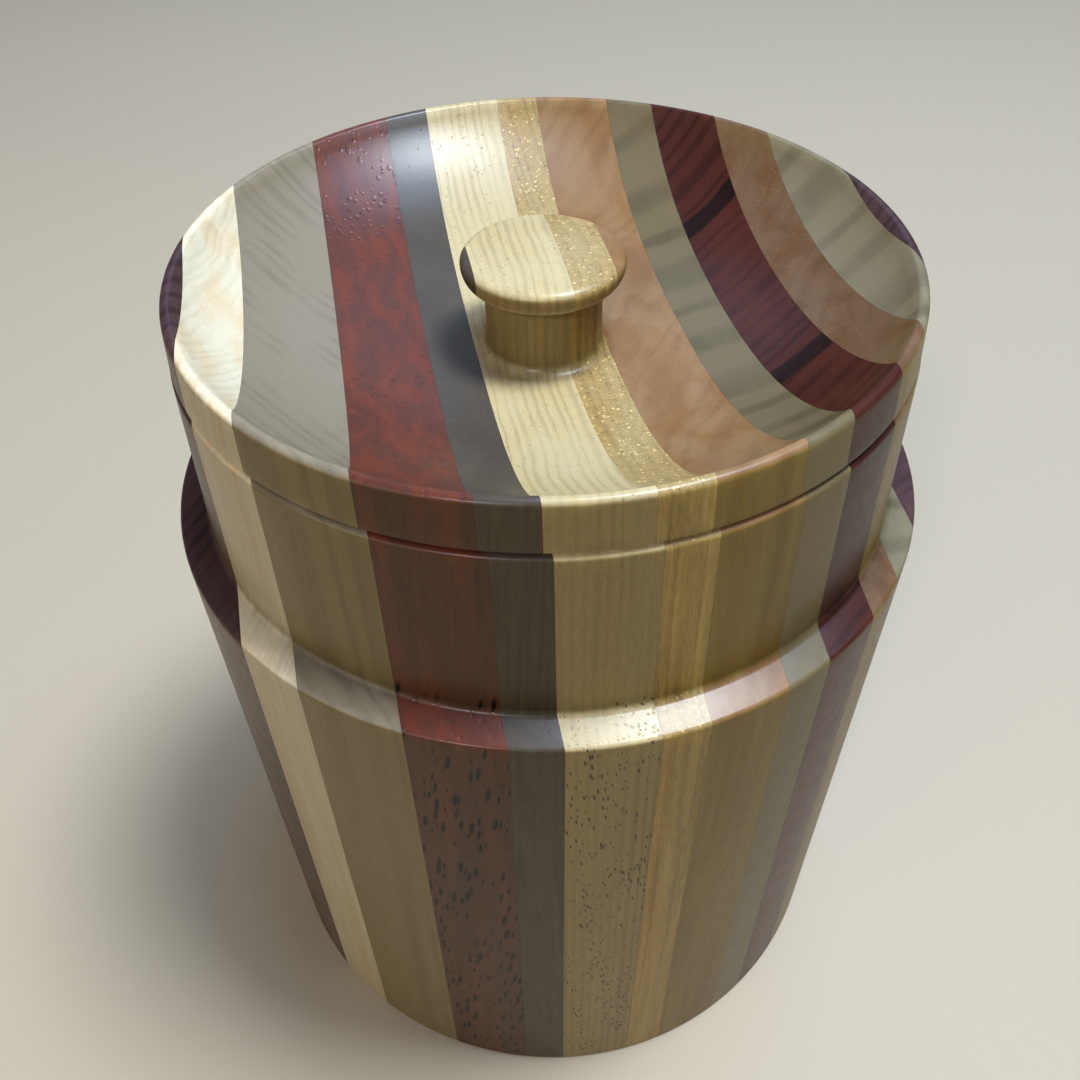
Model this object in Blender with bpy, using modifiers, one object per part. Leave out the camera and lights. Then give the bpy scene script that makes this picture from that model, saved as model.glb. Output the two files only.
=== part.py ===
# Go stone bowl: a round pot with a lift-off lid, both turned from one block of glued boards.
# Metres, +Z up. The origin is the centre of the base, where the bowl stands.
# Every board becomes two pieces, one in the bowl and one in the lid.

import math

import bmesh
import bpy

# Driving dimensions of the bowl
BASE_RADIUS = 0.0549
SHOULDER_RADIUS = 0.0561
SHOULDER_HEIGHT = 0.1019
NECK_FOOT_RADIUS = 0.0516
NECK_FOOT_HEIGHT = 0.1029
NECK_TOP_RADIUS = 0.0509
MOUTH_HEIGHT = 0.1294
CAVITY_RADIUS = 0.0455
FLOOR_THICKNESS = 0.009
CAVITY_FILLET = 0.008
COVE_RADIUS = 0.0012
EDGE_RADIUS = 0.0007

# Driving dimensions of the lid. Heights are above its seat on the bowl's mouth.
SEAT_GAP = 0.0003
SPIGOT_CLEARANCE = 0.00035
SPIGOT_DEPTH = 0.0127
LID_FOOT_RADIUS = 0.0507
LID_RADIUS = 0.0503
LID_RISE = 0.00715
LIP_RADIUS = 0.0009
DISH_DEPTH = 0.0142
DISH_FLATNESS = 3.1
DISH_EDGE_EASE = 0.89
STEM_RADIUS = 0.0082
STEM_FILLET = 0.0018
KNOB_RADIUS = 0.0113
KNOB_TOP = 0.0075
KNOB_DOME = 0.0007
KNOB_BEAD_WIDTH = 0.0016
KNOB_BEAD_ABOVE = 0.0012
KNOB_BEAD_BELOW = 0.00235

# The glued block: each board's wood and thickness, across the block. The first and last
# boards run out to the block's edges.
FIRST_GLUE_LINE = -0.0477
OUTER_BOARD = 0.020
BOARDS = (
    ("rosewood", OUTER_BOARD),
    ("maple", 0.0068),
    ("magnolia", 0.0121),
    ("padauk", 0.0121),
    ("walnut", 0.0067),
    ("ash", 0.0120),
    ("mulberry", 0.0065),
    ("camphor", 0.0112),
    ("magnolia", 0.0067),
    ("rosewood", 0.0086),
    ("camphor", 0.0062),
    ("magnolia", 0.0067),
    ("rosewood", OUTER_BOARD),
)
GLUE_LINE = 0.0003
BOWL_TURN = math.radians(12.1)
LID_TURN = math.radians(10.9)

# Each wood's colour, roughness and metallic value
WOODS = {
    "rosewood": ((0.100, 0.036, 0.030, 1.0), 0.30, 0.0),
    "maple": ((0.620, 0.530, 0.370, 1.0), 0.32, 0.0),
    "magnolia": ((0.250, 0.235, 0.155, 1.0), 0.34, 0.0),
    "padauk": ((0.230, 0.058, 0.034, 1.0), 0.30, 0.0),
    "walnut": ((0.105, 0.088, 0.078, 1.0), 0.32, 0.0),
    "ash": ((0.540, 0.450, 0.280, 1.0), 0.34, 0.0),
    "mulberry": ((0.420, 0.270, 0.095, 1.0), 0.30, 0.0),
    "camphor": ((0.330, 0.160, 0.080, 1.0), 0.32, 0.0),
}

# How finely the turnings are stepped, round the axis and along each round stretch of a profile
TURNED_STEPS = 48
CAVITY_FILLET_STEPS = 4
STEM_FILLET_STEPS = 3
COVE_STEPS = 3
EDGE_STEPS = 2
LIP_STEPS = 4
BEAD_STEPS = 3
DISH_SHARES = (0.45, 0.62, 0.75, 0.85, 0.92, 0.97)
WELD_DISTANCE = 0.00001

# Where a round stretch stops short of level, in degrees from the outward direction
SHOULDER_START = 80
LIP_START = 135
BEAD_START = 70
STEM_FILLET_END = 260

# The dome on the knob passes this share of its drop at this share of the knob's radius
DOME_RADIUS_SHARE = 0.5
DOME_DROP_SHARE = 0.4

# The slabs and cutters reach past the turning by these amounts
BLOCK_HALF_LENGTH = 0.070
BLOCK_MARGIN = 0.005
KNOB_SPACE_RADIUS = KNOB_RADIUS + 0.001
KNOB_SPACE_SIDES = 24
EMPTY_SIZE = 0.02


def make_collection(name):
    collection = bpy.data.collections.new(name)
    bpy.context.scene.collection.children.link(collection)
    return collection


def make_material(wood):
    colour, roughness, metallic = WOODS[wood]
    material = bpy.data.materials.new(wood)
    material.use_nodes = True
    shader = material.node_tree.nodes["Principled BSDF"]
    shader.inputs["Base Color"].default_value = colour
    shader.inputs["Roughness"].default_value = roughness
    shader.inputs["Metallic"].default_value = metallic
    return material


def make_empty(name, height):
    empty = bpy.data.objects.new(name, None)
    empty.location.z = height
    empty.empty_display_size = EMPTY_SIZE
    parts.objects.link(empty)
    return empty


def make_helper(name, mesh, parent):
    # A shape that only cuts: it stays out of renders and shows as wire.
    helper = bpy.data.objects.new(name, mesh)
    helper.parent = parent
    helper.hide_render = True
    helper.display_type = "WIRE"
    cutters.objects.link(helper)
    return helper


def arc(centre, radius, start, end, steps, height=None):
    # Points on a round stretch of a profile. Angles are in degrees from the outward direction.
    # With a height, the arc is an ellipse.
    height = radius if height is None else height
    points = []
    for step in range(steps + 1):
        angle = math.radians(start + (end - start) * step / steps)
        points.append((centre[0] + radius * math.cos(angle), centre[1] + height * math.sin(angle)))
    return points


def make_turning(name, profile, parent):
    # Turns a profile of (radius, height) points about the axis. Both its ends lie on the axis.
    mesh = bpy.data.meshes.new(name)
    edges = [(i, i + 1) for i in range(len(profile) - 1)]
    mesh.from_pydata([(radius, 0.0, height) for radius, height in profile], edges, [])
    turning = make_helper(name, mesh, parent)
    screw = turning.modifiers.new("turn", "SCREW")
    screw.steps = TURNED_STEPS
    screw.render_steps = TURNED_STEPS
    screw.use_smooth_shade = True
    screw.use_merge_vertices = True
    screw.merge_threshold = WELD_DISTANCE
    return turning


def bowl_profile():
    # From the middle of the cavity's floor, up the inside, over the mouth and down the outside.
    mouth = (CAVITY_RADIUS + EDGE_RADIUS, MOUTH_HEIGHT)
    mouth_inside = (CAVITY_RADIUS, MOUTH_HEIGHT - EDGE_RADIUS)
    fillet = (CAVITY_RADIUS - CAVITY_FILLET, FLOOR_THICKNESS + CAVITY_FILLET)
    lip = (NECK_TOP_RADIUS - EDGE_RADIUS, MOUTH_HEIGHT - EDGE_RADIUS)
    cove = (NECK_FOOT_RADIUS + COVE_RADIUS, NECK_FOOT_HEIGHT + COVE_RADIUS)
    shoulder = (SHOULDER_RADIUS - EDGE_RADIUS, SHOULDER_HEIGHT - EDGE_RADIUS)
    foot = (BASE_RADIUS - EDGE_RADIUS, EDGE_RADIUS)
    return [
        (0.0, FLOOR_THICKNESS),
        *arc(fillet, CAVITY_FILLET, -90, 0, CAVITY_FILLET_STEPS),
        mouth_inside,
        mouth,
        *arc(lip, EDGE_RADIUS, 90, 0, EDGE_STEPS),
        *arc(cove, COVE_RADIUS, 180, 270, COVE_STEPS),
        *arc(shoulder, EDGE_RADIUS, SHOULDER_START, 0, EDGE_STEPS),
        *arc(foot, EDGE_RADIUS, 0, -90, EDGE_STEPS),
        (0.0, 0.0),
    ]


def dish_height(radius, dish_radius, dish_top):
    # The dish falls slowly in the middle and steeply towards the lip.
    spread = 1 - (radius / dish_radius) ** DISH_FLATNESS
    return dish_top - DISH_DEPTH * spread**DISH_EDGE_EASE


def lid_profile():
    # From the knob's top, down its stem, out across the dish, over the lip and down to the spigot.
    lip = (LID_RADIUS - LIP_RADIUS, LID_RISE - LIP_RADIUS)
    lip_points = arc(lip, LIP_RADIUS, LIP_START, 0, LIP_STEPS)
    dish_radius, dish_top = lip_points[0]
    floor = dish_height(0.0, dish_radius, dish_top)
    bead = (KNOB_RADIUS - KNOB_BEAD_WIDTH, KNOB_TOP - KNOB_DOME - KNOB_BEAD_ABOVE)
    fillet = (STEM_RADIUS + STEM_FILLET, floor + STEM_FILLET)
    dish = []
    for share in DISH_SHARES:
        radius = dish_radius * share
        dish.append((radius, dish_height(radius, dish_radius, dish_top)))
    spigot = CAVITY_RADIUS - SPIGOT_CLEARANCE
    return [
        (0.0, KNOB_TOP),
        (KNOB_RADIUS * DOME_RADIUS_SHARE, KNOB_TOP - KNOB_DOME * DOME_DROP_SHARE),
        *arc(bead, KNOB_BEAD_WIDTH, BEAD_START, 0, BEAD_STEPS, KNOB_BEAD_ABOVE),
        *arc(bead, KNOB_BEAD_WIDTH, 0, -90, BEAD_STEPS, KNOB_BEAD_BELOW)[1:],
        (STEM_RADIUS, bead[1] - KNOB_BEAD_BELOW),
        *arc(fillet, STEM_FILLET, 180, STEM_FILLET_END, STEM_FILLET_STEPS),
        *dish,
        *lip_points,
        (LID_FOOT_RADIUS, EDGE_RADIUS),
        (LID_FOOT_RADIUS - EDGE_RADIUS, 0.0),
        (spigot, 0.0),
        (spigot, EDGE_RADIUS - SPIGOT_DEPTH),
        (spigot - EDGE_RADIUS, -SPIGOT_DEPTH),
        (0.0, -SPIGOT_DEPTH),
    ]


def make_slab(name, low, high, bottom, top, half_length):
    # A box between two glue lines. Its origin stays on the turning axis, and x, y and z of the
    # unit cube run from -0.5 to 0.5.
    mesh = bpy.data.meshes.new(name)
    shape = bmesh.new()
    bmesh.ops.create_cube(shape, size=1.0)
    for vertex in shape.verts:
        vertex.co.x = low + (high - low) * (vertex.co.x + 0.5)
        vertex.co.y *= 2 * half_length
        vertex.co.z = bottom + (top - bottom) * (vertex.co.z + 0.5)
    shape.to_mesh(mesh)
    shape.free()
    return mesh


def make_piece(name, wood, mesh, parent, turn, turning, space=None):
    # One board's share of the turning: the slab keeps only what the turning holds.
    piece = bpy.data.objects.new(name, mesh)
    piece.parent = parent
    piece.rotation_euler.z = turn
    mesh.materials.append(materials[wood])
    parts.objects.link(piece)
    keep = piece.modifiers.new("turned shape", "BOOLEAN")
    keep.operation = "INTERSECT"
    keep.object = turning
    if space:
        remove = piece.modifiers.new("clear of the knob", "BOOLEAN")
        remove.operation = "DIFFERENCE"
        remove.object = space
    return piece


def board_edges():
    # Each board's wood and its two faces, half a glue line inside the glue planes.
    edges = []
    low = FIRST_GLUE_LINE - OUTER_BOARD
    for wood, thickness in BOARDS:
        edges.append((wood, low + GLUE_LINE / 2, low + thickness - GLUE_LINE / 2))
        low += thickness
    return edges


def make_knob_space():
    # A cylinder round the knob's head, above the dish.
    mesh = bpy.data.meshes.new("knob_space")
    shape = bmesh.new()
    bmesh.ops.create_cone(
        shape,
        cap_ends=True,
        segments=KNOB_SPACE_SIDES,
        radius1=KNOB_SPACE_RADIUS,
        radius2=KNOB_SPACE_RADIUS,
        depth=KNOB_TOP + BLOCK_MARGIN,
    )
    for vertex in shape.verts:
        vertex.co.z += (KNOB_TOP + BLOCK_MARGIN) / 2
    shape.to_mesh(mesh)
    shape.free()
    return make_helper("knob_space", mesh, lid)


def make_bowl():
    turning = make_turning("bowl_turning", bowl_profile(), bowl)
    top = MOUTH_HEIGHT + BLOCK_MARGIN
    for number, (wood, low, high) in enumerate(board_edges(), 1):
        name = f"bowl_strip_{number:02d}_{wood}"
        mesh = make_slab(name, low, high, -BLOCK_MARGIN, top, BLOCK_HALF_LENGTH)
        make_piece(name, wood, mesh, bowl, BOWL_TURN, turning)


def make_lid():
    turning = make_turning("lid_turning", lid_profile(), lid)
    space = make_knob_space()
    bottom = -SPIGOT_DEPTH - BLOCK_MARGIN
    top = KNOB_TOP + BLOCK_MARGIN
    for number, (wood, low, high) in enumerate(board_edges(), 1):
        name = f"lid_strip_{number:02d}_{wood}"
        mesh = make_slab(name, low, high, bottom, top, BLOCK_HALF_LENGTH)
        # A board that misses the stem but reaches the knob's head leaves a loose edge there.
        beside_stem = min(abs(low), abs(high)) > STEM_RADIUS
        reaches_knob = min(abs(low), abs(high)) < KNOB_RADIUS and beside_stem
        make_piece(name, wood, mesh, lid, LID_TURN, turning, space if reaches_knob else None)
        if reaches_knob:
            name = f"knob_edge_{wood}"
            mesh = make_slab(name, low, high, 0.0, top, KNOB_SPACE_RADIUS)
            make_piece(name, wood, mesh, lid, LID_TURN, turning)


for old in list(bpy.data.objects):
    bpy.data.objects.remove(old)
parts = make_collection("go_stone_bowl")
cutters = make_collection("cutters")
materials = {wood: make_material(wood) for wood in WOODS}
bowl = make_empty("bowl", 0.0)
lid = make_empty("lid", MOUTH_HEIGHT + SEAT_GAP)
make_bowl()
make_lid()
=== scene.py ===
# Looks for a turned go stone bowl: every glued board of the bowl and of its lid is a fine surface
# with its own wood, under one coat of lacquer.
import math

import bpy
import numpy as np
from mathutils import Matrix, Vector


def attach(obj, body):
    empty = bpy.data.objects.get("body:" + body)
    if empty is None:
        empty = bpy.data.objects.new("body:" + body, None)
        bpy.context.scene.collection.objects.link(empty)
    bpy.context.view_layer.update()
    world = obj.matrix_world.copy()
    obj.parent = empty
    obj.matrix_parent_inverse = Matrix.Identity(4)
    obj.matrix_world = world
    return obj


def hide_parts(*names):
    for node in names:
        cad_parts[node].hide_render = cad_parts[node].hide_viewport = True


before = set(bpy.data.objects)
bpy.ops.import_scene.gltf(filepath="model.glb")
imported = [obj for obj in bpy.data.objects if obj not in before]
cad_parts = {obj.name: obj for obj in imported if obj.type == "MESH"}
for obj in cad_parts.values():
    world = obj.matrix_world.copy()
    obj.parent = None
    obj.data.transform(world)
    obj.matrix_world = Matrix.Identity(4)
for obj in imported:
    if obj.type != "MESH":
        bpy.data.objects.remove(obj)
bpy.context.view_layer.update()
print("frame loaded:", len(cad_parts), "nodes")

mm = 0.001
samePoint = 1e-6  # outline points that are less than this apart, in mm, count as one
slack = 1e-9  # rounding error, in metres, that is allowed when radii are compared
axisRadius = 1e-12  # stands for a radius of 0, in metres, where a radius divides

# the camera looks down at the lid from the front; yaw, pitch and roll are in degrees
view = {
    "place": (0.0, -0.1301, 0.2106),
    "pitch": 44.66,
    "yaw": -0.54,
    "roll": -1.22,
    "lens": 35.9,
    "sensor": 36,
    "nearest": 0.01,  # the closest thing that the camera sees, in metres
}

room = {
    "floorSize": 3.0,
    "floorColour": (0.41, 0.335, 0.24),
    "floorRoughness": 0.7,
    "skyColour": (0.86, 0.90, 1.0),
    "skyStrength": 0.10,
    "lampAim": (0, 0, 0.1),
    # name: (place, size, watts, colour); every lamp is a soft disk that looks at lampAim
    "lamps": {
        "ceilingLamp": ((0.30, 0.0, 1.10), 0.30, 13.6, (0.90, 0.95, 1.0)),
        "skylight": ((0.34, 0.10, 1.25), 0.80, 14.5, (0.38, 0.63, 1.0)),
        "rearGlow": ((0.0, 1.30, 1.10), 0.90, 2.6, (0.50, 0.70, 1.0)),
        "leftFill": ((-1.00, -0.80, 0.50), 0.90, 4.8, (1.0, 0.88, 0.64)),
        "frontWindow": ((-0.42, -0.95, 0.95), 0.13, 5.0, (0.98, 0.98, 1.0)),
    },
}


def addCamera():
    data = bpy.data.cameras.new("camera")
    data.lens = view["lens"]
    data.sensor_width = view["sensor"]
    data.clip_start = view["nearest"]
    cam = bpy.data.objects.new("camera", data)
    turn = Matrix.Rotation(-math.radians(view["yaw"]), 4, "Z")
    tip = Matrix.Rotation(math.radians(90 - view["pitch"]), 4, "X")
    roll = Matrix.Rotation(math.radians(view["roll"]), 4, "Z")
    cam.matrix_world = Matrix.Translation(view["place"]) @ turn @ tip @ roll
    bpy.context.scene.collection.objects.link(cam)
    bpy.context.scene.camera = cam


def addLight(name, place, size, power, colour):
    data = bpy.data.lights.new(name, "AREA")
    data.shape = "DISK"
    data.size = size
    data.energy = power
    data.color = colour
    lamp = bpy.data.objects.new(name, data)
    aim = Vector(room["lampAim"]) - Vector(place)
    lamp.matrix_world = Matrix.Translation(place) @ aim.to_track_quat("-Z", "Y").to_matrix().to_4x4()
    bpy.context.scene.collection.objects.link(lamp)


def addRoom():
    half = room["floorSize"] / 2
    mesh = bpy.data.meshes.new("floor")
    corners = [(-half, -half, 0), (half, -half, 0), (half, half, 0), (-half, half, 0)]
    mesh.from_pydata(corners, [], [(0, 1, 2, 3)])
    floor = bpy.data.objects.new("floor", mesh)
    bpy.context.scene.collection.objects.link(floor)
    paint = bpy.data.materials.new("floorPaint")
    paint.use_nodes = True
    shader = paint.node_tree.nodes["Principled BSDF"]
    shader.inputs["Base Color"].default_value = (*room["floorColour"], 1)
    shader.inputs["Roughness"].default_value = room["floorRoughness"]
    mesh.materials.append(paint)
    sky = bpy.data.worlds.new("sky")
    sky.use_nodes = True
    glow = sky.node_tree.nodes["Background"]
    glow.inputs["Color"].default_value = (*room["skyColour"], 1)
    glow.inputs["Strength"].default_value = room["skyStrength"]
    bpy.context.scene.world = sky
    for name, (place, size, power, colour) in room["lamps"].items():
        addLight(name, place, size, power, colour)
    bpy.context.scene.view_settings.view_transform = "Standard"


addCamera()
addRoom()
print("camera and room placed")

# Each outline is a list of (radius, height) stretches that follows the wood's skin from the axis,
# over the outside and back to the axis. The wood is always on its right-hand side. Lengths are in mm.
# An arc that runs into a straight stretch may stop a few degrees short, because the stretch starts there.

bowlShape = {
    "baseRadius": 54.9,
    "shoulderRadius": 56.1,
    "shoulderHeight": 101.9,
    "neckFootRadius": 51.6,
    "neckFootHeight": 102.9,
    "neckTopRadius": 50.9,
    "mouthHeight": 129.4,
    "cavityRadius": 45.5,
    "floor": 9.0,
    "cavityFillet": 8.0,
    "cove": 1.2,
    "edge": 0.7,
    # where an arc starts and stops, in degrees from outward
    "mouthArc": (90, 2),
    "coveArc": (180, 262),
    "shoulderArc": (75, 1),
}

# how many points each stretch of the bowl's outline gets
bowlSteps = {
    "floor": 24,
    "cavityFillet": 16,
    "wall": 14,
    "innerLip": 7,
    "edge": 9,
    "body": 40,
    "base": 24,
}

lidShape = {
    "seat": 129.7,
    "spigotRadius": 45.15,
    "spigotDepth": 12.7,
    "footRadius": 50.7,
    "radius": 50.3,
    "rise": 7.15,
    "lip": 0.9,
    "dishDepth": 14.2,
    "dishFlatness": 3.1,
    "dishEase": 0.89,
    "stemRadius": 8.2,
    "stemFillet": 1.8,
    "knobRadius": 11.3,
    "knobTop": 7.5,
    "knobDome": 0.7,
    "beadWidth": 1.6,
    "beadAbove": 1.2,
    "beadBelow": 2.35,
    "underFillet": 0.4,
    "footClear": 0.8,  # from the stem's fillet to the first point of the dish
    "edge": 0.7,
    "lipArc": (135, 3),
    "headArc": (75, 0),
    "stemFootArc": (180, 268),
}

# the same for the lid
lidSteps = {
    "dome": 14,
    "headTop": 13,
    "headUnder": 12,
    "tuck": 4,
    "stem": 8,
    "dish": 46,
    "lip": 15,
    "rim": 6,
    "edge": 6,
    "seat": 5,
    "spigot": 8,
    "bottom": 24,
}


def arc(centre, radius, start, end, count, height=None):
    # a point at each angle: centre plus (radius cos a, height sin a), angles in degrees from outward
    a = np.radians(np.linspace(start, end, count))
    tall = radius if height is None else height
    return np.stack([centre[0] + radius * np.cos(a), centre[1] + tall * np.sin(a)], axis=1)


def run(start, end, count):
    # evenly spaced points on a straight stretch, ends included
    share = np.linspace(0, 1, count)[:, None]
    return np.array(start) * (1 - share) + np.array(end) * share


def joinStretches(stretches):
    points = np.concatenate(stretches)
    gaps = np.linalg.norm(np.diff(points, axis=0), axis=1)
    return points[np.concatenate([[True], gaps > samePoint])] * mm


def bowlOutline():
    s = bowlShape
    steps = bowlSteps
    e = s["edge"]
    fillet = (s["cavityRadius"] - s["cavityFillet"], s["floor"] + s["cavityFillet"])
    inner = (s["cavityRadius"] + e, s["mouthHeight"] - e)
    lip = (s["neckTopRadius"] - e, s["mouthHeight"] - e)
    cove = (s["neckFootRadius"] + s["cove"], s["neckFootHeight"] + s["cove"])
    shoulder = (s["shoulderRadius"] - e, s["shoulderHeight"] - e)
    foot = (s["baseRadius"] - e, e)
    return joinStretches([
        run((0, s["floor"]), (fillet[0], s["floor"]), steps["floor"]),
        arc(fillet, s["cavityFillet"], -90, 0, steps["cavityFillet"]),
        run((s["cavityRadius"], fillet[1]), (s["cavityRadius"], inner[1]), steps["wall"]),
        arc(inner, e, 180, 90, steps["innerLip"]),
        arc(lip, e, *s["mouthArc"], steps["edge"]),
        run((s["neckTopRadius"], lip[1]), (s["neckFootRadius"], cove[1]), steps["wall"]),
        arc(cove, s["cove"], *s["coveArc"], steps["edge"]),
        arc(shoulder, e, *s["shoulderArc"], steps["edge"]),
        run((s["shoulderRadius"], shoulder[1]), (s["baseRadius"], e), steps["body"]),
        arc(foot, e, 0, -90, steps["edge"]),
        run((foot[0], 0), (0, 0), steps["base"]),
    ])


def dishHeight(radius, dishRadius, dishTop):
    # the dish drops by depth * (1 - (r / R) ^ flatness) ^ ease: flat in the middle, steep at the lip
    spread = np.clip(1 - (radius / dishRadius) ** lidShape["dishFlatness"], 0, 1)
    return dishTop - lidShape["dishDepth"] * spread ** lidShape["dishEase"]


def lidOutline():
    s = lidShape
    steps = lidSteps
    rim = (s["radius"] - s["lip"], s["seat"] + s["rise"] - s["lip"])
    lip = arc(rim, s["lip"], *s["lipArc"], steps["lip"])
    dishRadius, dishTop = lip[0]
    middle = float(dishHeight(0.0, dishRadius, dishTop))
    bead = (s["knobRadius"] - s["beadWidth"], s["seat"] + s["knobTop"] - s["knobDome"] - s["beadAbove"])
    fillet = (s["stemRadius"] + s["stemFillet"], middle + s["stemFillet"])
    head = arc(bead, s["beadWidth"], *s["headArc"], steps["headTop"], s["beadAbove"])
    under = arc(bead, s["beadWidth"], 0, -90, steps["headUnder"], s["beadBelow"])
    tuck = (s["stemRadius"] + s["underFillet"], bead[1] - s["beadBelow"] - s["underFillet"])
    # the knob's top is a shallow dome: height falls by rise * (r / R) ^ 2
    top = np.linspace(0, head[0, 0], steps["dome"])
    rise = s["seat"] + s["knobTop"] - head[0, 1]
    dome = np.stack([top, head[0, 1] + rise * (1 - (top / head[0, 0]) ** 2)], axis=1)
    stemFoot = arc(fillet, s["stemFillet"], *s["stemFootArc"], steps["stem"])
    radii = np.linspace(stemFoot[-1, 0] + s["footClear"], dishRadius, steps["dish"])
    dish = np.stack([radii, dishHeight(radii, dishRadius, dishTop)], axis=1)
    e = s["edge"]
    footArc = arc((s["footRadius"] - e, s["seat"] + e), e, 0, -90, steps["edge"])
    bottom = s["seat"] - s["spigotDepth"]
    return joinStretches([
        dome,
        head,
        under,
        arc(tuck, s["underFillet"], 90, 180, steps["tuck"]),
        run((s["stemRadius"], tuck[1]), (s["stemRadius"], fillet[1]), steps["stem"]),
        stemFoot,
        dish,
        lip,
        run(lip[-1], footArc[0], steps["rim"]),
        footArc,
        run(footArc[-1], (s["spigotRadius"], s["seat"]), steps["seat"]),
        run((s["spigotRadius"], s["seat"]), (s["spigotRadius"], bottom + e), steps["spigot"]),
        arc((s["spigotRadius"] - e, bottom + e), e, 0, -90, steps["edge"]),
        run((s["spigotRadius"] - e, bottom), (0, bottom), steps["bottom"]),
    ])


edge = {
    "wearReach": 0.9,  # how far a worn edge fades out along the outline, in mm
    "sharpTurn": 0.9,  # the turn, in radians within that reach, that counts as fully worn
}


def skinOf(outline):
    # columns: radius, height, outward normal (2), wear of outer corners and painted shade of inner corners,
    # 0 to 1.
    # The outward side of a stretch (dr, dz) is (-dz, dr); a corner takes the mean of its two stretches.
    step = np.diff(outline, axis=0)
    side = np.stack([-step[:, 1], step[:, 0]], axis=1)
    side /= np.linalg.norm(side, axis=1)[:, None]
    both = np.concatenate([side[:1], side[:-1] + side[1:], side[-1:]])
    both[[0, -1], 0] = 0
    both /= np.linalg.norm(both, axis=1)[:, None]
    turn = np.zeros(len(outline))
    turn[1:-1] = np.arcsin(np.clip(side[:-1, 0] * side[1:, 1] - side[:-1, 1] * side[1:, 0], -1, 1))
    along = np.concatenate([[0], np.cumsum(np.linalg.norm(step, axis=1))])
    near = np.exp(-(((along[:, None] - along[None, :]) / (edge["wearReach"] * mm)) ** 2))
    wear = np.clip(near @ np.maximum(-turn, 0) / edge["sharpTurn"], 0, 1)
    paintedShade = np.clip(near @ np.maximum(turn, 0) / edge["sharpTurn"], 0, 1)
    return np.column_stack([outline, both, wear, paintedShade])


block = {
    "firstGlueLine": -47.7,
    "bowlTurn": 12.1,  # degrees that the boards are turned about the axis
    "lidTurn": 10.9,
    "hairline": 0.01,  # half the glue line's width
    "columnAngle": 1.1,  # degrees of turn from one column of points to the next
    "fewestColumns": 18,
    # places along a glue line, in mm from where the outline first meets it, that get an outline point
    "nearGlue": (0, 0.25, 0.6, 1.1, 1.8, 2.7, 3.8, 5.2, 7.0, 9.5),
    "stepDigits": 9,
    "weldDigits": 8,  # points that agree to this many decimals of a metre are welded
}

# Across the block. "end" colours the end grain that faces up or down, "side" the upright grain. The side
# colours also hold part of a painted warm glow, the light bounced up onto the upright faces.
# pith is where the growth rings centre, in mm across (u) and along (v) the boards.
boards = (
    {"wood": "rosewood", "thick": 20.0, "end": (0.060, 0.030, 0.030), "side": (0.080, 0.047, 0.032)},
    {"wood": "maple", "thick": 6.8, "end": (0.602, 0.521, 0.367), "side": (0.331, 0.281, 0.179)},
    {"wood": "magnolia", "thick": 12.1, "end": (0.209, 0.170, 0.118), "side": (0.142, 0.102, 0.042),
     "pith": (-115, -76), "ringSpacing": 2.4, "ringDepth": 0.16, "ringPatch": 0.0, "wobble": 1.2},
    {"wood": "padauk", "thick": 12.1, "end": (0.085, 0.026, 0.018), "side": (0.052, 0.022, 0.010)},
    {"wood": "walnut", "thick": 6.7, "end": (0.065, 0.050, 0.037), "side": (0.050, 0.036, 0.018)},
    {"wood": "ash", "thick": 12.0, "end": (0.448, 0.355, 0.191), "side": (0.209, 0.149, 0.056)},
    {"wood": "mulberry", "thick": 6.5, "end": (0.332, 0.237, 0.104), "side": (0.271, 0.183, 0.053)},
    {"wood": "camphor", "thick": 11.2, "end": (0.232, 0.129, 0.058), "side": (0.175, 0.113, 0.024)},
    {"wood": "magnolia", "thick": 6.7, "end": (0.127, 0.096, 0.049), "side": (0.142, 0.102, 0.040),
     "ringDepth": 0.30, "ringPatch": 0.6},
    {"wood": "rosewood", "thick": 8.6, "end": (0.053, 0.011, 0.006), "side": (0.078, 0.028, 0.014),
     "bands": (21.0, -19.0)},
    {"wood": "camphor", "thick": 6.2, "end": (0.125, 0.069, 0.036), "side": (0.175, 0.113, 0.024),
     "glitter": 0.25},
    {"wood": "magnolia", "thick": 6.7, "end": (0.167, 0.136, 0.084), "side": (0.150, 0.108, 0.042),
     "ringDepth": 0.26, "ringPatch": 0.6},
    {"wood": "rosewood", "thick": 20.0, "end": (0.060, 0.030, 0.032), "side": (0.085, 0.050, 0.036)},
)


def boardLimits():
    # the two faces of each board, across the block, a hairline inside the glue lines
    low = block["firstGlueLine"] - boards[0]["thick"]
    limits = []
    for board in boards:
        high = low + board["thick"]
        limits.append(((low + block["hairline"]) * mm, (high - block["hairline"]) * mm))
        low = high
    return limits


def refineSkin(skin, planes):
    # adds outline points where the radius meets a glue plane, and closer together next to it, because
    # the plane's edge runs at v = sqrt(r^2 - u^2) and turns quickly there
    radius = skin[:, 0]
    index = np.arange(len(skin), dtype=float)
    turns = np.nonzero(np.diff(np.sign(np.diff(radius))))[0] + 1
    ends = np.concatenate([[0], turns, [len(skin) - 1]])
    v = np.array(block["nearGlue"]) * mm
    extra = [index]
    for first, last in zip(ends[:-1], ends[1:]):
        branch = slice(first, last + 1)
        r, t = radius[branch], index[branch]
        if r[0] > r[-1]:
            r, t = r[::-1], t[::-1]
        for plane in planes:
            wanted = np.sqrt(plane**2 + v**2)
            inside = (wanted > r[0]) & (wanted < r[-1])
            extra.append(np.interp(wanted[inside], r, t))
    t = np.unique(np.round(np.concatenate(extra), block["stepDigits"]))
    return np.column_stack([np.interp(t, index, column) for column in skin.T])


def stretchesInside(mask):
    # (first, last) of each unbroken run of True
    padded = np.concatenate([[0], mask.astype(int), [0]])
    change = np.diff(padded)
    return list(zip(np.nonzero(change == 1)[0], np.nonzero(change == -1)[0] - 1))


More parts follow.
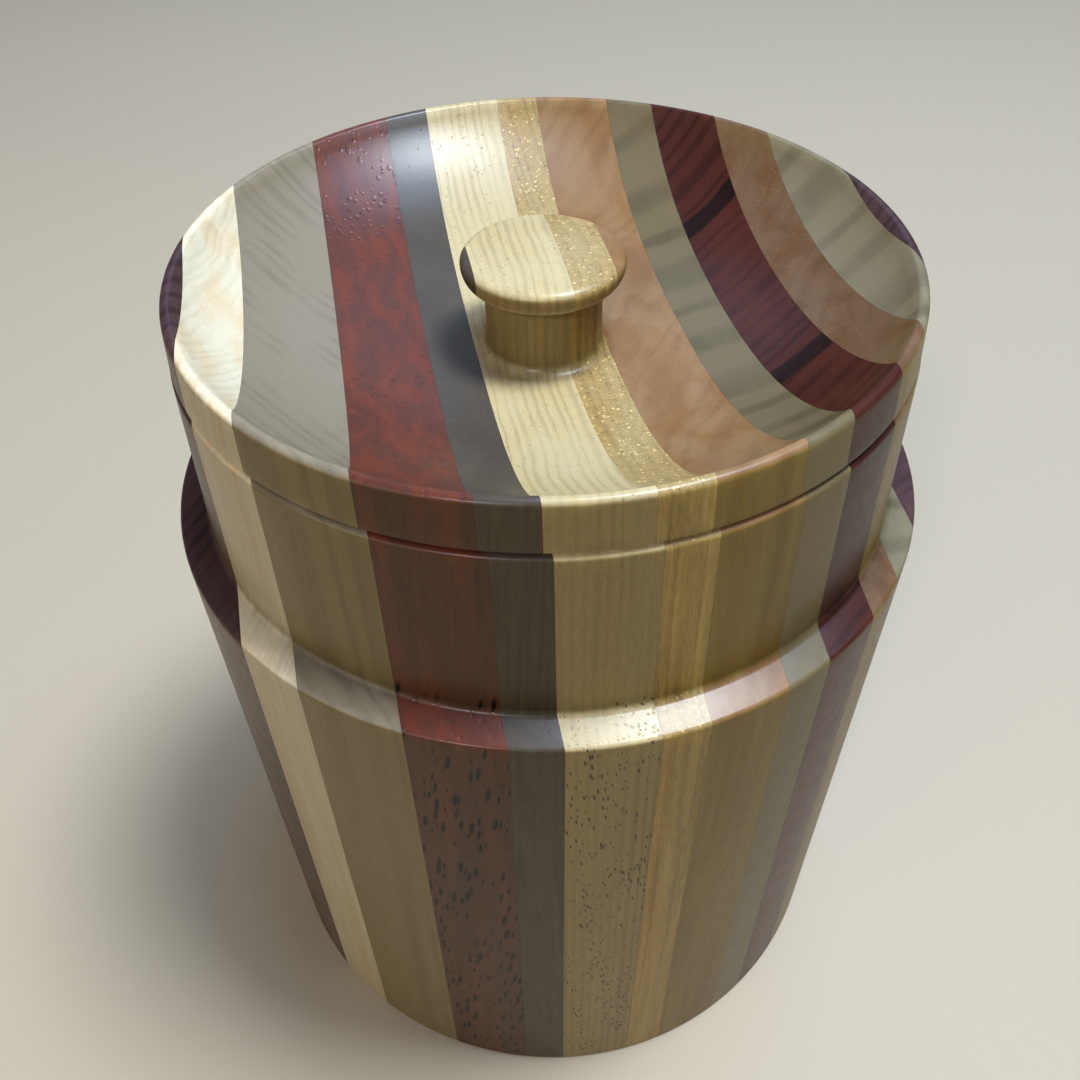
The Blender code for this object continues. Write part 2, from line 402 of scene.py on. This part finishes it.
def bothHalves(across, along, up):
    # the front half of a board, at -along, and then the back half, at +along
    front = np.stack([across, -along, up], -1).reshape(-1, 3)
    back = np.stack([across, along, up], -1).reshape(-1, 3)
    return np.concatenate([front, back])


def withoutRepeats(ring):
    return ring[ring != np.roll(ring, 1)]


def turnedBoard(name, skin, low, high, turn):
    # A circle of radius r meets the board between the angles asin(low / r) and asin(high / r), once in
    # front of the axis and once behind: u = r sin a, v = -r cos a or +r cos a. The two glue faces close it.
    nearest = 0.0 if low < 0 < high else min(abs(low), abs(high))
    skin = refineSkin(skin, (abs(low), abs(high)))
    skin = skin[skin[:, 0] >= nearest - slack]
    outline, normals = skin[:, :2], skin[:, 2:4] / np.linalg.norm(skin[:, 2:4], axis=1)[:, None]
    radius = np.maximum(outline[:, :1], axisRadius)
    start = np.arcsin(np.clip(low / radius, -1, 1))
    stop = np.arcsin(np.clip(high / radius, -1, 1))
    widest = np.degrees(stop - start)[np.argmax(outline[:, 0]), 0]
    columns = max(block["fewestColumns"], int(widest / block["columnAngle"])) + 1
    angle = start + (stop - start) * np.linspace(0, 1, columns)[None, :]
    rows = len(outline)
    half = rows * columns
    height = np.repeat(outline[:, 1:], columns, axis=1)
    tilt = np.repeat(normals[:, 1:], columns, axis=1)
    points = bothHalves(radius * np.sin(angle), radius * np.cos(angle), height)
    aims = bothHalves(normals[:, :1] * np.sin(angle), normals[:, :1] * np.cos(angle), tilt)
    grid = np.arange(half).reshape(rows, columns)
    upper, lower = grid[:-1], grid[1:]
    front = np.stack([lower[:, :-1], lower[:, 1:], upper[:, 1:], upper[:, :-1]], -1).reshape(-1, 4)
    quads = np.concatenate([front, front[:, ::-1] + half])
    caps, capSides = [], []
    for plane, column, side in ((low, 0, -1), (high, columns - 1, 1)):
        if abs(plane) >= outline[:, 0].max():
            continue
        for first, last in stretchesInside(outline[:, 0] >= abs(plane) - slack):
            down = grid[first : last + 1, column]
            ring = np.concatenate([down, (down + half)[::-1]])
            caps.append(ring if side > 0 else ring[::-1])
            capSides.append(side)
    # weld what coincides: the poles, and the front and back halves where they meet. Adding 0.0 makes
    # every -0.0 a 0.0.
    rounded = np.round(points, block["weldDigits"]) + 0.0
    _, keepers, weld = np.unique(rounded, axis=0, return_index=True, return_inverse=True)
    weld = weld.reshape(-1)
    marks = np.tile(np.repeat(skin[:, 4:6], columns, axis=0), (2, 1))[keepers]
    quads = weld[quads]
    kept = quads != np.roll(quads, 1, axis=1)
    solid = kept.sum(axis=1) > 2
    rings = [withoutRepeats(weld[ring]) for ring in caps]
    turned = quads[solid][kept[solid]]
    loops = np.concatenate([turned, *rings])
    ringSizes = np.array([len(ring) for ring in rings], int)
    sizes = np.concatenate([kept[solid].sum(axis=1), ringSizes])
    spin = np.array(Matrix.Rotation(turn, 3, "Z"))
    sides = np.zeros((len(rings), 3))
    sides[:, 0] = capSides
    capAims = np.repeat(sides @ spin.T, ringSizes, axis=0)
    loopAims = np.concatenate([aims[keepers][turned] @ spin.T, capAims])
    mesh = bpy.data.meshes.new(name)
    mesh.vertices.add(len(keepers))
    mesh.vertices.foreach_set("co", (points[keepers] @ spin.T).ravel())
    mesh.loops.add(len(loops))
    mesh.loops.foreach_set("vertex_index", loops)
    mesh.polygons.add(len(sizes))
    mesh.polygons.foreach_set("loop_start", np.cumsum(sizes) - sizes)
    mesh.update(calc_edges=True)
    mesh.shade_smooth()
    mesh.normals_split_custom_set(loopAims.tolist())
    for column, mark in enumerate(("wear", "paintedShade")):
        mesh.attributes.new(mark, "FLOAT", "POINT").data.foreach_set("value", marks[:, column])
    piece = bpy.data.objects.new(name, mesh)
    bpy.context.scene.collection.objects.link(piece)
    return piece


# How each wood is figured. Lengths are in mm; depths and amounts run from 0 to 1.
# woods overrules anyWood, and one board in boards can overrule both.
anyWood = {
    "pith": (30, 260),
    "lean": (0.0, 0.0),  # degrees that the fibres lean across and along the boards
    "ringSpacing": 8.0,
    "ringDepth": 0.0,
    "ringPatch": 0.3,  # what is left of the rings where they fade out
    "wobble": 3.0,
    "streak": 0.10,
    "streakFine": 1.1,  # streaks per mm
    "speck": 0.10,
    "cloudSize": (9, 16, 90),  # across the boards, along them and up the fibres
    "cloud": 0.5,
    "tint": (0.92, 0.88, 0.80),  # what the clouds multiply the board's colour by
    "poreCell": 1.3,
    "poreRadius": 0.0,
    "poreLength": 5.0,
    "poreShare": 0.7,
    "poreDepth": 0.8,
    "poreOnEnd": 0.5,
    "lidPores": 1.0,  # how many of the pores the lid's half of the board shows
    "ledge": 104.0,  # the bowl's pores thin out above this height, to neckPores of their depth
    "neckPores": 0.25,
    # how strong the flakes are: the bright ones are painted glints, the dark ones darker specks
    "glitter": 0.0,
    "bands": (),
}

woods = {
    "rosewood": {"ringDepth": 0.38, "ringSpacing": 2.7, "pith": (150, -200), "wobble": 0.9, "streak": 0.20,
                 "tint": (0.62, 0.60, 0.72), "speck": 0.22, "poreRadius": 0.09, "poreCell": 1.1},
    "maple": {"cloudSize": (2.2, 7, 70), "cloud": 0.9, "tint": (0.98, 0.86, 0.74), "streak": 0.12,
              "ringDepth": 0.09, "ringSpacing": 1.3, "pith": (-190, 60), "ringPatch": 0.0,
              "poreRadius": 0.11, "poreLength": 14.0, "poreCell": 2.6, "poreShare": 0.35, "poreDepth": 0.45,
              "poreOnEnd": 0.0},
    "magnolia": {"ringDepth": 0.14, "ringSpacing": 9.0, "pith": (10, 230), "wobble": 1.5,
                 "tint": (0.90, 0.90, 0.84), "streak": 0.07},
    "padauk": {"cloudSize": (2.2, 7, 45), "cloud": 0.9, "tint": (1.50, 1.12, 0.80), "streak": 0.16,
               "lean": (-9.0, 0.0), "poreRadius": 0.34, "poreCell": 0.95, "poreShare": 0.95,
               "poreDepth": 0.97, "poreOnEnd": 0.28, "lidPores": 0.45, "speck": 0.14},
    "walnut": {"streak": 0.34, "streakFine": 2.0, "tint": (0.80, 0.80, 0.82), "speck": 0.16, "cloud": 0.7,
               "poreRadius": 0.09, "poreCell": 0.9, "poreLength": 12.0, "poreDepth": 0.45,
               "poreOnEnd": 0.3},
    "ash": {"ringDepth": 0.20, "ringSpacing": 1.3, "pith": (-900, 8), "wobble": 0.9, "speck": 0.12,
            "lean": (7.0, 0.0), "tint": (0.96, 0.88, 0.70), "poreRadius": 0.15, "poreCell": 0.55,
            "poreLength": 3.8, "poreShare": 0.95, "poreDepth": 0.80, "poreOnEnd": 0.40, "lidPores": 0.25},
    "mulberry": {"ringDepth": 0.16, "ringSpacing": 1.6, "pith": (-340, -20), "wobble": 1.0, "streak": 0.42,
                 "streakFine": 0.75, "tint": (0.92, 0.78, 0.55), "cloud": 0.7, "glitter": 0.90,
                 "speck": 0.25, "poreRadius": 0.10, "poreCell": 1.0, "poreLength": 16.0, "poreDepth": 0.5,
                 "poreOnEnd": 0.2},
    "camphor": {"cloudSize": (5, 8, 70), "cloud": 1.0, "tint": (0.84, 0.72, 0.58), "speck": 0.12,
                "ringDepth": 0.12, "ringSpacing": 3.4, "pith": (160, -120), "streak": 0.10,
                "glitter": 0.06},
}

# What all the woods share. Each "Fade" is the (low, high) of the noise, or of what its note names,
# between which the mark comes in.
grain = {
    "boardGap": 170.0,  # how far apart up the fibres two boards take their figure, so that none match
    "swaySize": (13, 13, 90),
    "endFade": (0.25, 0.85),  # the height of the face's normal, either way up
    "cloudFade": (0.38, 0.68),
    "streakLength": 45,
    "uprightStreak": 3.0,  # streaks are this much stronger on upright grain
    "speckSize": (0.22, 0.22, 2.2),
    "speckLight": 2.4,
    "ringRelief": -0.5,
}

years = {
    "uneven": 1.6,  # rings by which the years wander
    "unevenScale": 0.45,
    "lineFade": (-0.2, 1.0),  # the sine whose peaks are the lines
    "patchSize": (9, 15, 90),
    "patchFade": (0.36, 0.62),
}

pores = {
    "swell": (0.6, 1.35),  # the smallest and largest, as a share of poreRadius
    "rim": (0.55, 1.15),  # a pore's edge fades out between these, in radii
    "crowdSize": (5, 7, 22),
    "crowdFade": (0.32, 0.48),
    "thinning": 3.0,  # height over which the bowl's pores thin out above the ledge, in mm
}

sparkle = {
    "scale": 2.1,  # flakes per mm
    "dotFade": (0.2, 0.55),  # the distance from the flake's middle; it fades out, not in
    "brightFade": (0.70, 0.95),  # the flake's own random number
    "darkFade": (0.10, 0.35),  # the same number, and the flake darkens below it
    "clumpSize": (1.8, 1.8, 5),
    "clumpFade": (0.38, 0.58),
    "clumpLeast": 0.30,
    # how much the painted glints lighten the colour
    "glintLight": 1.5,
    "darken": -0.35,
    "relief": 2.0,
}

blackBand = {
    "rise": 28,  # degrees that a band climbs along the board while it crosses it
    "core": 1.2,  # half its black middle, in mm
    "rim": 2.5,  # half its whole width
    "light": 0.22,
}

age = {
    "patchSize": 3,
    "wearFade": (0.40, 0.66),
    "wearLight": 0.16,
    # the painted shade of the inner corners: where its patches fade in, their least share, and how much
    # darker it makes them
    "shadeFade": (0.30, 0.60),
    "shadeLeast": 0.4,
    "shadeAmount": -0.30,
}

noiseMiddle = 0.5  # what the noise of the nodes is on average

lacquer = {
    "woodRoughness": 0.52,
    "smoother": 0.06,  # how much smoother the wood is in the dips of the ripple
    "wornRoughness": 0.2,  # what worn edges add
    "rippleFade": (0.3, 0.7),
    "woodShine": 0.06,
    "coat": 0.37,
    "coatRoughness": 0.27,
    "ripple": 0.010,  # height of the faint waves in the coat, in mm
    "rippleSize": 2.4,
    "orangePeel": 0.007,  # the same for the fine unevenness, which rubs off worn edges
    "orangePeelSize": 0.32,
    "peelGone": 0.6,  # the wear at which none of it is left
    "poreDent": 0.10,  # how deep the coat dips into the pores of end grain, in mm
    "poreDentUpright": 0.015,
    "grainRelief": 0.012,
}


def addNode(tree, kind, values=None, **settings):
    # values are by input name or number: a socket is linked and anything else becomes the default
    made = tree.nodes.new(kind)
    for name, value in settings.items():
        setattr(made, name, value)
    for key, value in (values or {}).items():
        if isinstance(value, bpy.types.NodeSocket):
            tree.links.new(value, made.inputs[key])
        else:
            made.inputs[key].default_value = value
    return made


def calc(tree, operation, *values):
    return addNode(tree, "ShaderNodeMath", dict(enumerate(values)), operation=operation).outputs[0]


def calcVector(tree, operation, *values):
    return addNode(tree, "ShaderNodeVectorMath", dict(enumerate(values)), operation=operation)


def addShare(tree, light, value, amount):
    # light + amount * value, where value and amount may each be a socket or a number
    return calc(tree, "MULTIPLY_ADD", value, amount, light)


def fade(tree, value, low, high, atLow=0.0, atHigh=1.0):
    # an S-curve from atLow to atHigh while the value goes from low to high
    limits = {0: value, 1: low, 2: high, 3: atLow, 4: atHigh}
    return addNode(tree, "ShaderNodeMapRange", limits, interpolation_type="SMOOTHSTEP").outputs[0]


def blend(tree, share, first, second, kind="MIX"):
    values = {0: share, 6: first, 7: second}
    return addNode(tree, "ShaderNodeMix", values, data_type="RGBA", blend_type=kind).outputs[2]


def aroundZero(tree, noise):
    return calc(tree, "SUBTRACT", noise, noiseMiddle)


def cloudOf(tree, place, size, detail=2.0):
    # soft noise whose spots measure size = (across, along, up)
    stretched = calcVector(tree, "DIVIDE", place, size).outputs[0]
    return addNode(tree, "ShaderNodeTexNoise", {"Vector": stretched, "Scale": 1.0, "Detail": detail})


def ringLines(tree, place, look):
    # dark lines where sin(2 pi (d / spacing + uneven n)) peaks, d being the distance from the pith across
    # the block and n noise in d alone, which makes the years uneven
    arm = calcVector(tree, "SUBTRACT", place, (*look["pith"], 0)).outputs[0]
    flat = calcVector(tree, "MULTIPLY", arm, (1, 1, 0)).outputs[0]
    distance = calcVector(tree, "LENGTH", flat).outputs["Value"]
    year = calc(tree, "DIVIDE", distance, look["ringSpacing"])
    values = {"W": year, "Scale": years["unevenScale"], "Detail": 1.0}
    noise = addNode(tree, "ShaderNodeTexNoise", values, noise_dimensions="1D").outputs[0]
    uneven = addShare(tree, year, noise, years["uneven"])
    wave = calc(tree, "SINE", calc(tree, "MULTIPLY", uneven, 2 * math.pi))
    patch = cloudOf(tree, place, years["patchSize"]).outputs[0]
    weak = fade(tree, patch, *years["patchFade"], look["ringPatch"], 1.0)
    return calc(tree, "MULTIPLY", fade(tree, wave, *years["lineFade"]), weak)


def poreMask(tree, place, look, endFace):
    # one long ellipsoid in each Voronoi cell, poreRadius across and poreLength / 2 radii along the fibres
    cell = look["poreCell"]
    scaled = calcVector(tree, "DIVIDE", place, (cell, cell, cell * look["poreLength"])).outputs[0]
    cells = addNode(tree, "ShaderNodeTexVoronoi", {"Vector": scaled, "Scale": 1.0, "Randomness": 1.0})
    radius = look["poreRadius"] / cell
    middle, rim = pores["rim"]
    pick = addNode(tree, "ShaderNodeSeparateColor", {0: cells.outputs["Color"]})
    swell = fade(tree, pick.outputs[1], 0.0, 1.0, *pores["swell"])
    distance = calc(tree, "DIVIDE", cells.outputs["Distance"], swell)
    hole = fade(tree, distance, radius * middle, radius * rim, 1.0, 0.0)
    kept = calc(tree, "LESS_THAN", pick.outputs[0], look["poreShare"])
    crowd = fade(tree, cloudOf(tree, place, pores["crowdSize"]).outputs[0], *pores["crowdFade"])
    shown = calc(tree, "MULTIPLY", calc(tree, "MULTIPLY", hole, kept), crowd)
    onEnd = fade(tree, endFace, 0.0, 1.0, 1.0, look["poreOnEnd"])
    return calc(tree, "MULTIPLY", shown, onEnd)


def thinOut(tree, holes, at, look, onLid):
    # the pores of the neck and of the lid's upright faces are weaker than the rest
    if onLid:
        share = fade(tree, at["end"], 0.0, 1.0, look["neckPores"], 1.0)
    else:
        ledge = look["ledge"]
        height = addNode(tree, "ShaderNodeSeparateXYZ", {0: at["flat"]}).outputs[2]
        share = fade(tree, height, ledge, ledge + pores["thinning"], 1.0, look["neckPores"])
    return calc(tree, "MULTIPLY", holes, share)


def bandMask(tree, place, look, middle):
    # black bands across a board at v = band + slope (u - middle), with ragged edges
    axes = addNode(tree, "ShaderNodeSeparateXYZ", {0: place})
    slope = math.tan(math.radians(blackBand["rise"]))
    tilted = calc(tree, "SUBTRACT", axes.outputs[1], calc(tree, "MULTIPLY", axes.outputs[0], slope))
    total = None
    for band in look["bands"]:
        away = calc(tree, "ABSOLUTE", calc(tree, "SUBTRACT", tilted, band - slope * middle))
        mask = fade(tree, away, blackBand["core"], blackBand["rim"], 1.0, 0.0)
        total = mask if total is None else calc(tree, "MAXIMUM", total, mask)
    return total


def grainPlaces(tree, look, number, turn):
    # positions in mm: x across the boards, y along them, z up the fibres. "straight" follows the lean of
    # the pores and "bent" wavers as the grain does. "end" is 1 on end grain, which faces up or down.
    spot = addNode(tree, "ShaderNodeTexCoord")
    scale = (1 / mm, 1 / mm, 1 / mm)
    turned = {"Vector": spot.outputs["Object"], "Rotation": (0, 0, -turn), "Scale": scale}
    flat = addNode(tree, "ShaderNodeMapping", turned).outputs[0]
    away = (0, 0, grain["boardGap"] * number)
    across, along = (math.radians(angle) for angle in look["lean"])
    leaning = {"Vector": flat, "Rotation": (along, across, 0), "Location": away}
    straight = addNode(tree, "ShaderNodeMapping", leaning).outputs[0]
    upright = calcVector(tree, "ADD", flat, away).outputs[0]
    wander = cloudOf(tree, upright, grain["swaySize"]).outputs[1]
    drift = calcVector(tree, "SUBTRACT", wander, (noiseMiddle,) * 3).outputs[0]
    sway = 2 * look["wobble"]
    swayed = calcVector(tree, "MULTIPLY", drift, (sway, sway, 0)).outputs[0]
    bent = calcVector(tree, "ADD", upright, swayed).outputs[0]
    facing = addNode(tree, "ShaderNodeSeparateXYZ", {0: spot.outputs["Normal"]}).outputs[2]
    end = fade(tree, calc(tree, "ABSOLUTE", facing), *grain["endFade"])
    return {"flat": flat, "straight": straight, "bent": bent, "end": end}


def coatOver(tree, shader, at, relief, holes, worn):
    # the wood's own relief under a clear coat whose skin has faint ripples and dips into the pores
    look = lacquer
    ripple = cloudOf(tree, at["flat"], (look["rippleSize"],) * 3, detail=1.0).outputs[0]
    skin = calc(tree, "MULTIPLY", ripple, look["ripple"])
    peel = cloudOf(tree, at["flat"], (look["orangePeelSize"],) * 3, detail=1.0).outputs[0]
    skin = addShare(tree, skin, peel, fade(tree, worn, 0.0, look["peelGone"], look["orangePeel"], 0.0))
    if holes:
        dent = fade(tree, at["end"], 0.0, 1.0, -look["poreDentUpright"], -look["poreDent"])
        skin = addShare(tree, skin, holes, dent)
    wood = addShare(tree, skin, relief, look["grainRelief"])
    for name, height in (("Coat Normal", skin), ("Normal", wood)):
        bump = addNode(tree, "ShaderNodeBump", {"Height": height, "Distance": mm, "Strength": 1.0})
        tree.links.new(bump.outputs[0], shader.inputs[name])
    smoothest = look["woodRoughness"] - look["smoother"]
    rough = fade(tree, ripple, *look["rippleFade"], smoothest, look["woodRoughness"])
    tree.links.new(addShare(tree, rough, worn, look["wornRoughness"]), shader.inputs["Roughness"])
    shader.inputs["Specular IOR Level"].default_value = look["woodShine"]
    shader.inputs["Coat Weight"].default_value = look["coat"]
    shader.inputs["Coat Roughness"].default_value = look["coatRoughness"]


def woodColour(tree, at, look):
    # end or upright colour, with soft clouds of the tinted colour
    cloud = cloudOf(tree, at["bent"], look["cloudSize"], detail=3.0).outputs[0]
    plain = blend(tree, at["end"], (*look["side"], 1), (*look["end"], 1))
    tinted = blend(tree, 1.0, plain, (*look["tint"], 1), "MULTIPLY")
    return blend(tree, fade(tree, cloud, *grain["cloudFade"], 0.0, look["cloud"]), plain, tinted)


def grainLight(tree, at, look):
    # how bright streaks, specks and rings leave the colour, around 1, and the relief that goes with them
    fine = look["streakFine"]
    streakSize = (1 / fine, 1 / fine, grain["streakLength"] / fine)
    streak = cloudOf(tree, at["bent"], streakSize, detail=4.0).outputs[0]
    speck = cloudOf(tree, at["bent"], grain["speckSize"], detail=1.0).outputs[0]
    rings = ringLines(tree, at["bent"], look)
    upright = grain["uprightStreak"] * look["streak"]
    streakShare = fade(tree, at["end"], 0.0, 1.0, upright, look["streak"])
    light = addShare(tree, 1.0, aroundZero(tree, streak), streakShare)
    light = addShare(tree, light, aroundZero(tree, speck), grain["speckLight"] * look["speck"])
    light = addShare(tree, light, rings, -look["ringDepth"])
    return light, addShare(tree, speck, rings, grain["ringRelief"])


def addSparkle(tree, light, relief, at, amount):
    # bright flakes that are painted glints, and dark flakes, one to a Voronoi cell, on end grain only
    flakes = addNode(tree, "ShaderNodeTexVoronoi", {"Vector": at["bent"], "Scale": sparkle["scale"]})
    shine = addNode(tree, "ShaderNodeSeparateColor", {0: flakes.outputs["Color"]}).outputs[0]
    cloud = cloudOf(tree, at["bent"], sparkle["clumpSize"]).outputs[0]
    clump = fade(tree, cloud, *sparkle["clumpFade"], sparkle["clumpLeast"], 1.0)
    near = fade(tree, flakes.outputs["Distance"], *sparkle["dotFade"], 1.0, 0.0)
    dot = calc(tree, "MULTIPLY", near, at["end"])
    dark = calc(tree, "MULTIPLY", fade(tree, shine, *sparkle["darkFade"], 1.0, 0.0), dot)
    bright = calc(tree, "MULTIPLY", fade(tree, shine, *sparkle["brightFade"]), dot)
    bright = calc(tree, "MULTIPLY", bright, clump)
    light = addShare(tree, light, bright, sparkle["glintLight"] * amount)
    light = addShare(tree, light, dark, sparkle["darken"] * amount)
    return light, addShare(tree, relief, bright, sparkle["relief"] * amount)


def addAge(tree, light, at):
    # outer corners are rubbed paler, and inner corners are darkened with painted shade, both in patches
    wear = addNode(tree, "ShaderNodeAttribute", attribute_name="wear").outputs["Fac"]
    paintedShade = addNode(tree, "ShaderNodeAttribute", attribute_name="paintedShade").outputs["Fac"]
    patchy = cloudOf(tree, at["flat"], (age["patchSize"],) * 3, detail=3.0).outputs[0]
    worn = calc(tree, "MULTIPLY", wear, fade(tree, patchy, *age["wearFade"]))
    shadedPatch = calc(tree, "MULTIPLY", paintedShade, fade(tree, patchy, *age["shadeFade"], age["shadeLeast"], 1.0))
    light = addShare(tree, light, worn, age["wearLight"])
    return worn, addShare(tree, light, shadedPatch, age["shadeAmount"])


def woodPaint(name, number, turn, onLid=False):
    board = boards[number]
    look = {**anyWood, **woods[board["wood"]], **board}
    if onLid:
        look["poreShare"] *= look["lidPores"]
    paint = bpy.data.materials.new(name)
    paint.use_nodes = True
    tree = paint.node_tree
    shader = tree.nodes["Principled BSDF"]
    at = grainPlaces(tree, look, number, turn)
    colour = woodColour(tree, at, look)
    light, relief = grainLight(tree, at, look)
    if look["glitter"]:
        light, relief = addSparkle(tree, light, relief, at, look["glitter"])
    if look["bands"]:
        low, high = boardLimits()[number]
        band = bandMask(tree, at["bent"], look, (low + high) / 2 / mm)
        light = calc(tree, "MULTIPLY", light, fade(tree, band, 0.0, 1.0, 1.0, blackBand["light"]))
    holes = None
    if look["poreRadius"]:
        holes = thinOut(tree, poreMask(tree, at["straight"], look, at["end"]), at, look, onLid)
        light = calc(tree, "MULTIPLY", light, fade(tree, holes, 0.0, 1.0, 1.0, 1 - look["poreDepth"]))
    worn, light = addAge(tree, light, at)
    lit = addNode(tree, "ShaderNodeVectorMath", {"Vector": colour, "Scale": light}, operation="SCALE")
    tree.links.new(lit.outputs[0], shader.inputs["Base Color"])
    coatOver(tree, shader, at, relief, holes, worn)
    return paint


def finishPiece(piece, paint, body, node):
    piece.data.materials.append(paint)
    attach(piece, body)
    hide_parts(node)


def makeBowl():
    skin = skinOf(bowlOutline())
    turn = math.radians(block["bowlTurn"])
    for number, (board, (low, high)) in enumerate(zip(boards, boardLimits())):
        wood = board["wood"]
        paint = woodPaint(f"bowl{wood.title()}{number + 1:02d}", number, turn)
        piece = turnedBoard(f"bowlBoard{number + 1:02d}-{wood}", skin, low, high, turn)
        finishPiece(piece, paint, "bowl", f"bowl_strip_{number + 1:02d}_{wood}")
    print("bowl boards turned and lacquered")


def makeLid():
    # a board that misses the stem is cut off at the waist, and what it has of the knob's head is a
    # piece of its own
    skin = skinOf(lidOutline())
    stem = lidShape["stemRadius"] * mm
    waist = np.nonzero(skin[: len(skin) // 2, 0] <= stem + slack)[0].max()
    turn = math.radians(block["lidTurn"])
    for number, (board, (low, high)) in enumerate(zip(boards, boardLimits())):
        wood = board["wood"]
        paint = woodPaint(f"lid{wood.title()}{number + 1:02d}", number, turn, onLid=True)
        nearest = 0.0 if low < 0 < high else min(abs(low), abs(high))
        onStem = nearest <= stem
        ownSkin = skin if onStem else skin[waist:]
        piece = turnedBoard(f"lidBoard{number + 1:02d}-{wood}", ownSkin, low, high, turn)
        finishPiece(piece, paint, "lid", f"lid_strip_{number + 1:02d}_{wood}")
        if not onStem and nearest < lidShape["knobRadius"] * mm:
            sliver = turnedBoard(f"knobEdge-{wood}", skin[: waist + 1], low, high, turn)
            finishPiece(sliver, paint, "lid", f"knob_edge_{wood}")
    print("lid boards turned and lacquered")


makeBowl()
makeLid()
